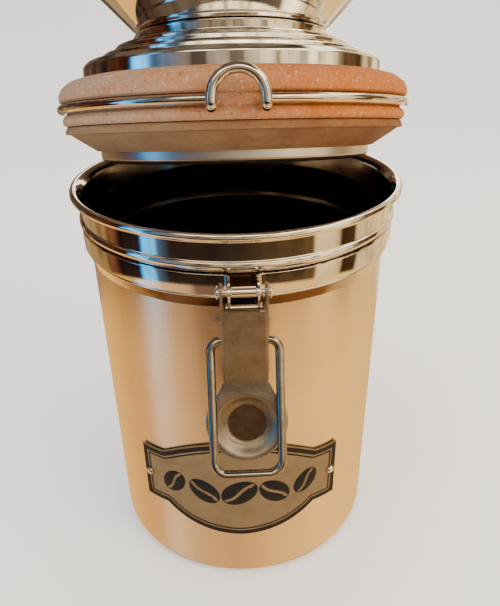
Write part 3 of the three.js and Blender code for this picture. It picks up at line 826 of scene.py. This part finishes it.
def build_bail():
    half, drop, longest = 10.6, 42.7, 1.6
    corners = [(0, 0, 0), (half, 0, 0), (half, 0, -drop), (-half, 0, -drop), (-half, 0, 0), (0, 0, 0)]
    path = bend(corners, [3.6, 4.2, 4.2, 3.6], 12)[:-1]
    dense = []
    for a, b in zip(path, path[1:] + path[:1]):
        cuts = max(1, int((b - a).length / longest))
        dense += [a.lerp(b, k / cuts) for k in range(cuts)]
    verts, faces = sweep(dense, BAIL_WIRE, 28, closed=True)
    finish_mesh("bail_loop", verts, faces, [SHADED_WIRE], BAIL, "bail", "wire_steel", ["latch_bail"])


# -------------------- lid
LID_WIRE = 1.47
RING_R, RING_Z = 59.68, 8.2
STUB_X, LEG_X, HOOK_X = 4.3, 9.6, 7.1
HOOK_FRONT, HOOK_SEAT, HOOK_TOP = -65.75, 5.9, 15.15


def build_lid_wire():
    """One wire: hinge stub, rear leg, ring, and the front hook's foot and arch; then the same mirrored."""
    down = HINGE[2] - RIM_TOP
    rear_y = math.sqrt(RING_R ** 2 - LEG_X ** 2)
    leg = bend([(STUB_X, HINGE[1], down), (LEG_X, HINGE[1], down), (LEG_X, HINGE[1], RING_Z - 1.0),
                (LEG_X + 1.2, rear_y - 0.4, RING_Z)], [1.9, 1.9], 8)[:-1]
    start = math.atan2(LEG_X + 3.2, rear_y)
    end = math.pi - math.atan2(HOOK_X + 3.0, 59.3)
    steps = 90
    turns = (start + (end - start) * i / steps for i in range(steps + 1))
    ring = [Vector((RING_R * math.sin(a), RING_R * math.cos(a), RING_Z)) for a in turns]
    foot = bend([ring[-1], (HOOK_X, -59.4, RING_Z), (HOOK_X, -61.2, HOOK_SEAT), (HOOK_X, -65.4, HOOK_SEAT),
                 (HOOK_X, HOOK_FRONT, 8.1)], [1.5, 1.5, 1.9], 12)
    arch = [Vector((HOOK_X * math.cos(a), HOOK_FRONT, HOOK_TOP - HOOK_X * (1 - math.sin(a))))
            for a in (math.pi / 2 * k / 20 for k in range(1, 21))]
    half = leg + ring[:-1] + foot + arch
    other = [Vector((-p.x, p.y, p.z)) for p in reversed(half[:-1])]
    verts, faces = sweep(half + other, LID_WIRE, 24)
    finish_mesh("lid_wire_loop", verts, faces, [WIRE], LID, "lid", "wire_steel", ["lid_wire"])


def build_lid():
    rim = [
        (52.0, 2.85, 0.3), (58.75, 2.85, 0.35), (59.6, 3.6, 0.8), (59.75, 5.0, 0.8), (59.0, 6.0, 0.6),
        (58.15, 6.6, 0.4), (58.1, 8.2, 0.5), (58.2, 9.7, 0.4), (59.4, 9.95, 0.6), (60.3, 10.6, 0.8),
        (60.35, 12.4, 1.6), (59.3, 14.6, 2.0), (56.8, 16.5, 2.5), (54.0, 17.3, 1.5), (51.75, 17.4, 0.4),
        (51.75, 16.0, 0.2),
    ]
    seal = [
        (48.6, -5.3, 0.4), (49.2, -5.3, 0.3), (55.0, -1.6, 8.0), (57.6, 0.15, 0.8), (59.1, 0.35, 0.3),
        (59.28, 0.75, 0.2), (58.6, 2.75, 1.2), (48.6, 2.75, 0.2),
    ]
    plug = [
        (0, -9.2, 0), (46.6, -9.2, 1.4), (47.9, -8.0, 1.2), (48.1, 2.3, 0.3), (47.2, 2.3, 0.3),
        (46.9, -7.4, 0.8), (46.0, -8.2, 0.8), (0, -8.2, 0),
    ]
    dome = [
        (3.4, 32.5, 0.1), (32.6, 32.5, 0.5), (33.5, 32.0, 0.8), (35.2, 29.4, 1.5), (35.5, 28.55, 0.5),
        (40.0, 28.1, 0.9), (40.95, 27.1, 0.9), (41.1, 25.75, 0.4), (44.5, 25.35, 0.8), (45.4, 24.6, 0.8),
        (45.6, 23.35, 0.4), (50.2, 22.85, 1.3), (51.55, 21.4, 1.3), (51.6, 2.85, 0.2),
        (50.7, 2.85, 0.2), (50.7, 21.0, 0.8), (50.0, 22.0, 0.8), (44.7, 22.4, 0.3), (44.5, 24.4, 0.5),
        (40.2, 24.7, 0.3), (40.0, 27.2, 0.5), (34.6, 27.6, 0.5), (33.7, 30.6, 0.5), (32.2, 31.6, 0.4),
        (3.4, 31.6, 0.1),
    ]
    rings, crown_r, crown_z, rise, sheet = 16, 42.0, 49.9, 4.65, 0.95
    crown = [(crown_r * (1 - k / rings), crown_z + rise * (1 - (1 - k / rings) ** 2), 0)
             for k in range(rings + 1)]
    under = [(r, z - sheet, 0) for r, z, _ in reversed(crown)]
    knob = [
        (2.6, 32.8, 0.1), (32.4, 32.8, 0.8), (34.2, 34.0, 1.5), (44.9, 44.7, 2.0), (46.0, 46.6, 1.4),
        (45.2, 48.5, 1.4), *crown, *under, (43.2, 48.6, 0.8), (44.7, 47.2, 0.8),
        (44.0, 45.6, 0.8), (33.6, 35.2, 0.8), (32.0, 33.8, 0.5), (2.6, 33.8, 0.1),
    ]
    for name, profile, mat, slot, node, steps in (
            ("rim_ring", rim, RIM, "rim_silicone", "lid_rim", 6),
            ("seal_lip", seal, SEAL, "seal_silicone", "lid_seal", 6),
            ("plug_pan", plug, PLUG, "plug_steel", "lid_plug", 6),
            ("stepped_dome", dome, DOME, "mirror_steel", "lid_dome", 5),
            ("flared_knob", knob, DOME, "mirror_steel", "knob", 6)):
        lathe(name, profile, [mat], LID, "lid", slot, [node], segs=200, steps=steps)
    for name in ("knob_nut", "knob_washer", "knob_screw"):
        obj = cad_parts[name]
        obj.data.materials.clear()
        obj.data.materials.append(PIN)


# -------------------- label plate
PLATE_R, PLATE_FACE = 55.35, 56.0  # radius of the plate's back and face
PLATE_CHAMFER = 0.12
PLATE_MID = 47.0
PLATE_RIVET = 36.6  # along the can from the plate's middle
BORDERS = ((0.35, 2.15, 0.13), (2.95, 3.55, 0.10))  # inset of both edges, and rise
BEAN_RISE = 0.52
CREASE_SWING, CREASE_WAVE = 0.16, 2.9
BEAN_RIM = 0.93  # the crease stops at this share of the bean


def bezier(a, b, c, d, steps=26):
    """Points of a cubic curve from a, without its end d."""
    out = []
    for t in (k / steps for k in range(steps)):
        out.append(tuple((1 - t) ** 3 * p + 3 * (1 - t) ** 2 * t * q + 3 * (1 - t) * t * t * r + t ** 3 * s
                         for p, q, r, s in zip(a, b, c, d)))
    return out


def plate_outline():
    """The plate's outline, clockwise from its top: distance along the can and height."""
    half = bezier((0, 70.5), (13.0, 70.1), (22.0, 65.0), (29.4, 60.4))
    half += [(29.4, 60.4), (32.8, 60.0), (36.2, 59.7)]
    half += [(39.5, 59.6), (39.5, 53.0), (39.5, 46.5), (39.5, 40.0)]
    half += [(39.5, 33.7), (36.0, 34.0), (32.4, 34.3)]
    half += bezier((29.0, 34.6), (21.0, 28.3), (11.0, 25.1), (0, 24.7))
    half.append((0, 24.7))
    return half + [(-x, y) for x, y in reversed(half[1:-1])]


def inset(outline, gap):
    """Moves each side of a clockwise outline inwards by gap, joining neighbours at their mitres."""
    out = []
    n = len(outline)
    for i in range(n):
        p, q, r = (Vector(outline[k % n]) for k in (i - 1, i, i + 1))
        a, b = (q - p).normalized(), (r - q).normalized()
        na, nb = Vector((a.y, -a.x)), Vector((b.y, -b.x))
        m = na + nb
        m = m / max(0.35, m.length_squared / 2)
        out.append(tuple(q + m * gap))
    return out


def on_can(s, z, r):
    """Wraps a place s along the can's front, at height z, onto radius r."""
    a = s / CAN_RADIUS
    return (r * math.sin(a), -r * math.cos(a), z)


def build_label():
    outline = plate_outline()
    verts, faces, loops = [], [], []
    for gap, r in ((0.0, PLATE_R), (0.0, PLATE_FACE - 0.1), (PLATE_CHAMFER, PLATE_FACE)):
        loop = inset(outline, gap)
        loops.append([len(verts) + i for i in range(len(loop))])
        verts += [on_can(s, z, r) for s, z in loop]
    n = len(outline)
    for a, b in zip(loops, loops[1:]):
        for i in range(n):
            j = (i + 1) % n
            faces.append([a[i], a[j], b[j], b[i]])
    faces += fill_rows(inset(outline, PLATE_CHAMFER), loops[-1])
    faces += fill_rows(outline, loops[0])
    finish_mesh("name_plate", verts, faces, [FIELD], LABEL, "can", "plate_bronze", ["label_plate"],
                sharp=35)
    verts, faces = join_parts([border_strip(outline, near, far, PLATE_FACE - 0.05, PLATE_FACE + rise)
                               for near, far, rise in BORDERS])
    border = finish_mesh("plate_border", verts, faces, [LINE], LABEL, "can", "plate_bronze", sharp=35)
    bevelled(border, 0.05, 2)
    for side, word in ((-1, "left"), (1, "right")):
        turn = (LABEL @ Matrix.Rotation(side * PLATE_RIVET / CAN_RADIUS, 4, "Z") @ shift(0, 0, PLATE_MID)
                @ Matrix.Rotation(math.pi / 2, 4, "X"))
        head = [(0, 55.45, 0), (0.85, 55.45, 0), (0.85, 56.1, 0), (1.65, 56.1, 0.1), (1.6, 56.7, 0.35),
                (0.9, 57.25, 0.5), (0, 57.35, 0)]
        lathe(f"plate_rivet_{word}", head, [PIN], turn, "can", "pin_steel", [f"label_rivet_{word}"],
              segs=28)


def fill_rows(loop, ids):
    """Fills the plate between its upper and lower edges with faces that follow the can's curve."""
    order = sorted(range(len(loop)), key=lambda i: loop[i][0])
    upper = [i for i in order if loop[i][1] > PLATE_MID]
    lower = [i for i in order if loop[i][1] <= PLATE_MID]
    faces = []
    i = j = 0
    while i < len(upper) - 1 or j < len(lower) - 1:
        step_up = j >= len(lower) - 1 or (i < len(upper) - 1
                                          and loop[upper[i + 1]][0] <= loop[lower[j + 1]][0])
        if step_up:
            faces.append([ids[upper[i]], ids[upper[i + 1]], ids[lower[j]]])
            i += 1
        else:
            faces.append([ids[upper[i]], ids[lower[j + 1]], ids[lower[j]]])
            j += 1
    return faces


def border_strip(outline, near, far, low, high):
    """A raised line between two insets of the outline."""
    loops = inset(outline, near), inset(outline, far)
    n = len(outline)
    verts = [on_can(s, z, r) for loop in loops for r in (low, high) for s, z in loop]
    la, ha, lb, hb = 0, n, 2 * n, 3 * n
    faces = []
    for i in range(n):
        j = (i + 1) % n
        faces += [[ha + i, ha + j, hb + j, hb + i], [la + i, la + j, ha + j, ha + i],
                  [lb + i, hb + i, hb + j, lb + j], [la + i, lb + i, lb + j, la + j]]
    return verts, faces


def bean(cx, cz, size, turn):
    """One raised coffee bean with its curved crease, wrapped on the can, and the look of each face."""
    rings, spokes = 20, 64
    faces, marks = [], []
    a, b = size, size * 0.70
    c, s = math.cos(turn), math.sin(turn)

    def from_crease(u, v):
        return v - CREASE_SWING * b * math.sin(u / a * CREASE_WAVE)

    def place(u, v):
        q = (u / a) ** 2 + (v / b) ** 2
        rise = BEAN_RISE * math.sqrt(max(0.0, 1 - q))
        if q < BEAN_RIM:
            rise *= 1 - 0.95 * math.exp(-(from_crease(u, v) / (0.10 * size)) ** 2)
        return on_can(cx + u * c - v * s, cz + u * s + v * c, PLATE_FACE - 0.03 + rise)

    verts = [place(0, 0)]
    for i in range(1, rings + 1):
        q = math.sin(math.pi / 2 * i / rings)
        for k in range(spokes):
            t = TAU * k / spokes
            verts.append(place(a * q * math.cos(t), b * q * math.sin(t)))
    for k in range(spokes):
        faces.append([0, 1 + k, 1 + (k + 1) % spokes])
        marks.append(1)
    for i in range(rings - 1):
        for k in range(spokes):
            k2 = (k + 1) % spokes
            p, q = 1 + i * spokes, 1 + (i + 1) * spokes
            faces.append([p + k, q + k, q + k2, p + k2])
            t = TAU * (k + 0.5) / spokes
            w = math.sin(math.pi / 2 * (i + 1.5) / rings)
            off = abs(from_crease(a * w * math.cos(t), b * w * math.sin(t)))
            marks.append(int(off < 0.085 * size and w < BEAN_RIM))
    faces.append([1 + (rings - 1) * spokes + k for k in range(spokes)][::-1])
    marks.append(0)
    return verts, faces, marks


# Place along the plate, height, half length and turn of each bean.
BEANS = [(-25.2, 47.4, 6.0, 0.95), (-13.0, 46.2, 6.7, -0.75), (0.0, 46.6, 7.4, 0.6),
         (13.0, 46.2, 6.7, -0.75), (25.2, 47.4, 6.0, 0.95)]


def build_beans():
    parts, marks = [], []
    for at, height, size, turn in BEANS:
        verts, faces, mark = bean(at, height, size, turn)
        parts.append((verts, faces))
        marks += mark
    verts, faces = join_parts(parts)
    finish_mesh("bean_motif", verts, faces, [LINE, FIELD], LABEL, "can", "plate_bronze", mat_index=marks,
                sharp=60)


# -------------------- stage
def area_light(name, size, energy, color, at, look):
    """A soft square light that polished surfaces don't mirror."""
    data = bpy.data.lights.new(name, "AREA")
    data.shape = "RECTANGLE"
    data.size = data.size_y = size
    data.energy = energy
    data.color = color
    obj = add_object(name, data)
    obj.location = at
    obj.rotation_euler = (Vector(look) - Vector(at)).to_track_quat("-Z", "Y").to_euler()
    obj.visible_glossy = False


def build_stage():
    floor = bpy.data.meshes.new("floor")
    half = 40.0
    floor.from_pydata([(-half, -half, 0), (half, -half, 0), (half, half, 0), (-half, half, 0)], [],
                      [(0, 1, 2, 3)])
    floor.materials.append(floor_material())
    obj = add_object("floor", floor)
    obj.location.z = -0.0003
    obj.visible_glossy = False
    build_world()
    middle = (0, 0, 0.08)
    area_light("key_right", 0.7, 17, (1.0, 0.74, 0.44), (0.95, -0.75, 0.75), middle)
    area_light("fill_left", 0.5, 5, (0.72, 0.85, 1.0), (-0.85, -0.75, 0.65), middle)


# Azimuth in turns (0.5 at -Y, more towards +X) and the colour that polished surfaces mirror there: the
# room's walls, the gap below the table, the upper walls, and the table far off and close by.
ROOM = [(0.00, 2.0, 1.75, 1.4), (0.02, 0.95, 0.78, 0.55), (0.05, 0.12, 0.09, 0.07),
        (0.12, 0.30, 0.18, 0.07), (0.19, 0.24, 0.14, 0.05),
        (0.205, 0.13, 0.06, 0.02), (0.225, 0.10, 0.03, 0.015), (0.24, 0.014, 0.006, 0.004),
        (0.292, 0.02, 0.012, 0.012), (0.301, 0.04, 0.60, 1.3), (0.324, 0.12, 0.60, 1.1),
        (0.334, 0.05, 0.08, 0.13), (0.36, 0.022, 0.012, 0.008), (0.45, 0.020, 0.012, 0.008),
        (0.50, 0.032, 0.018, 0.010), (0.60, 0.075, 0.040, 0.016), (0.648, 0.10, 0.055, 0.02),
        (0.656, 0.72, 0.48, 0.22), (0.708, 0.66, 0.43, 0.19), (0.716, 0.035, 0.015, 0.006),
        (0.752, 0.05, 0.025, 0.01), (0.762, 0.74, 0.50, 0.23), (0.88, 0.60, 0.40, 0.18),
        (0.94, 1.0, 0.82, 0.56), (1.00, 2.0, 1.75, 1.4)]
FOOT = [(0.00, 0.05, 0.02, 0.008), (0.27, 0.05, 0.015, 0.006), (0.285, 0.05, 0.5, 1.0),
        (0.315, 0.10, 0.6, 1.0), (0.33, 0.03, 0.06, 0.12), (0.37, 0.03, 0.015, 0.008),
        (0.56, 0.06, 0.03, 0.012), (0.60, 0.50, 0.32, 0.14), (0.64, 0.06, 0.025, 0.01),
        (0.74, 0.04, 0.015, 0.006), (0.80, 0.42, 0.27, 0.12), (0.84, 0.05, 0.02, 0.008),
        (1.00, 0.05, 0.02, 0.008)]
HIGH = [(0.00, 2.0, 1.8, 1.45), (0.02, 0.95, 0.8, 0.6), (0.05, 0.10, 0.07, 0.055),
        (0.20, 0.035, 0.016, 0.01), (0.25, 0.08, 0.018, 0.008), (0.272, 0.018, 0.012, 0.012),
        (0.282, 0.03, 0.50, 1.3), (0.312, 0.16, 0.75, 1.4), (0.325, 0.05, 0.12, 0.22),
        (0.40, 0.12, 0.09, 0.07), (0.50, 0.32, 0.25, 0.17), (0.58, 0.72, 0.58, 0.36),
        (0.66, 1.15, 0.92, 0.58), (0.73, 0.80, 0.60, 0.33), (0.75, 0.10, 0.05, 0.02),
        (0.80, 0.16, 0.09, 0.035), (0.82, 0.60, 0.42, 0.21), (0.92, 0.95, 0.76, 0.50),
        (1.00, 2.0, 1.8, 1.45)]
TABLE_START = [(0.00, 0.62, 0.34, 0.10), (0.11, 0.78, 0.43, 0.12), (0.20, 0.62, 0.32, 0.085),
               (0.268, 0.58, 0.30, 0.09)]
TABLE_END = [(0.57, 0.76, 0.45, 0.15), (0.72, 0.90, 0.54, 0.185), (0.86, 0.84, 0.50, 0.165),
             (1.00, 0.62, 0.34, 0.10)]
TABLE = [*TABLE_START, (0.282, 0.78, 0.60, 0.50), (0.318, 0.76, 0.57, 0.45),
         (0.34, 0.62, 0.35, 0.16), (0.395, 0.46, 0.26, 0.12), (0.41, 0.15, 0.08, 0.045),
         (0.48, 0.11, 0.06, 0.03), (0.53, 0.32, 0.17, 0.06), *TABLE_END]
LOWER = [*TABLE_START, (0.282, 0.74, 0.50, 0.34), (0.318, 0.72, 0.48, 0.30),
         (0.35, 0.60, 0.35, 0.15), (0.48, 0.56, 0.33, 0.135), *TABLE_END]
CEILING, LAMP = (0.10, 0.075, 0.05), (1.9, 1.6, 1.1)
MIRRORED_STRENGTH = 1.75
PLAIN_LIGHT, PLAIN_STRENGTH = (1.0, 0.965, 0.92), 1.8


def mirrored_room(n):
    """The room by height (0 straight down, 1 straight up) and azimuth, as a colour."""
    x, y, z = n.split(n.coord)
    azimuth = n.math("ARCTAN2", x, n.math("MULTIPLY", y, -1.0))
    turn = n.math("ADD", n.math("DIVIDE", azimuth, TAU), 0.5)
    height = n.math("ADD", n.math("MULTIPLY", z, 0.5), 0.5)
    table = n.mix(n.fade(height, 0.14, 0.23), n.ramp(turn, LOWER), n.ramp(turn, TABLE))
    not_foot = n.ramp(height, [(0.0, 1.0), (0.026, 1.0), (0.032, 0.0), (0.056, 0.0), (0.063, 1.0)])
    room = n.mix(not_foot, n.ramp(turn, FOOT), table)
    room = n.mix(n.fade(height, 0.268, 0.276), room, n.ramp(turn, ROOM))
    room = n.mix(n.fade(height, 0.43, 0.50), room, n.ramp(turn, HIGH))
    room = n.mix(n.fade(height, 0.74, 0.86), room, CEILING)
    lamp = n.math("MULTIPLY", n.ramp(height, [(0.765, 0.0), (0.79, 1.0), (0.88, 1.0), (0.905, 0.0)]),
                  n.ramp(turn, [(0.35, 0.0), (0.40, 1.0), (0.86, 1.0), (0.92, 0.0)]))
    room = n.mix(lamp, room, LAMP)
    patches = n.ramp(n.noise(n.coord, 4.5, 4.0, 0.5),
                     [(0.40, 0.35), (0.46, 0.8), (0.50, 1.0), (0.56, 1.2), (0.60, 1.45)])
    return n.mix(n.fade(height, 0.275, 0.33), room, patches, "MULTIPLY")


def build_world():
    """Plain pale light for everything, and the room for what polished surfaces mirror."""
    world = bpy.data.worlds.new("studio")
    world.use_nodes = True
    bpy.context.scene.world = world
    n = Nodes(world.node_tree, "Generated")
    mirrored = world.node_tree.nodes["Background"]
    n.feed(mirrored_room(n), mirrored.inputs["Color"])
    n.feed(MIRRORED_STRENGTH, mirrored.inputs["Strength"])
    plain = n.node("Background", {"Color": PLAIN_LIGHT, "Strength": PLAIN_STRENGTH})
    is_mirror = n.node("LightPath").outputs["Is Glossy Ray"]
    choose = n.node("MixShader", {0: is_mirror, 1: plain.outputs[0], 2: mirrored.outputs[0]})
    n.feed(choose.outputs[0], world.node_tree.nodes["World Output"].inputs["Surface"])


# -------------------- camera
CAMERA_AT = (-4.42, -211.42, 211.7)
CAMERA_YAW, CAMERA_PITCH, CAMERA_ROLL = 0.0414, 0.50, -0.016
CAMERA_LENS, SENSOR_WIDTH = 34.621782, 36.0


def build_camera():
    cos_pitch = math.cos(CAMERA_PITCH)
    forward = Vector((math.sin(CAMERA_YAW) * cos_pitch, math.cos(CAMERA_YAW) * cos_pitch,
                      -math.sin(CAMERA_PITCH)))
    level = Vector((math.cos(CAMERA_YAW), -math.sin(CAMERA_YAW), 0))
    upright = level.cross(forward)
    right = level * math.cos(CAMERA_ROLL) + upright * math.sin(CAMERA_ROLL)
    up = upright * math.cos(CAMERA_ROLL) - level * math.sin(CAMERA_ROLL)
    data = bpy.data.cameras.new("camera")
    data.sensor_fit = "AUTO"
    data.sensor_width = SENSOR_WIDTH
    data.lens = CAMERA_LENS
    data.clip_start = 0.01
    data.clip_end = 200.0
    cam = add_object("camera", data)
    cam.matrix_world = shift(*CAMERA_AT) @ Matrix((right, up, -forward)).transposed().to_4x4()
    bpy.context.scene.camera = cam


build_camera()
build_can()
build_band()
build_pins()
build_bracket()
build_label()
build_beans()
build_lever()
build_bail()
build_lid_wire()
build_lid()
build_stage()

bpy.context.view_layer.update()
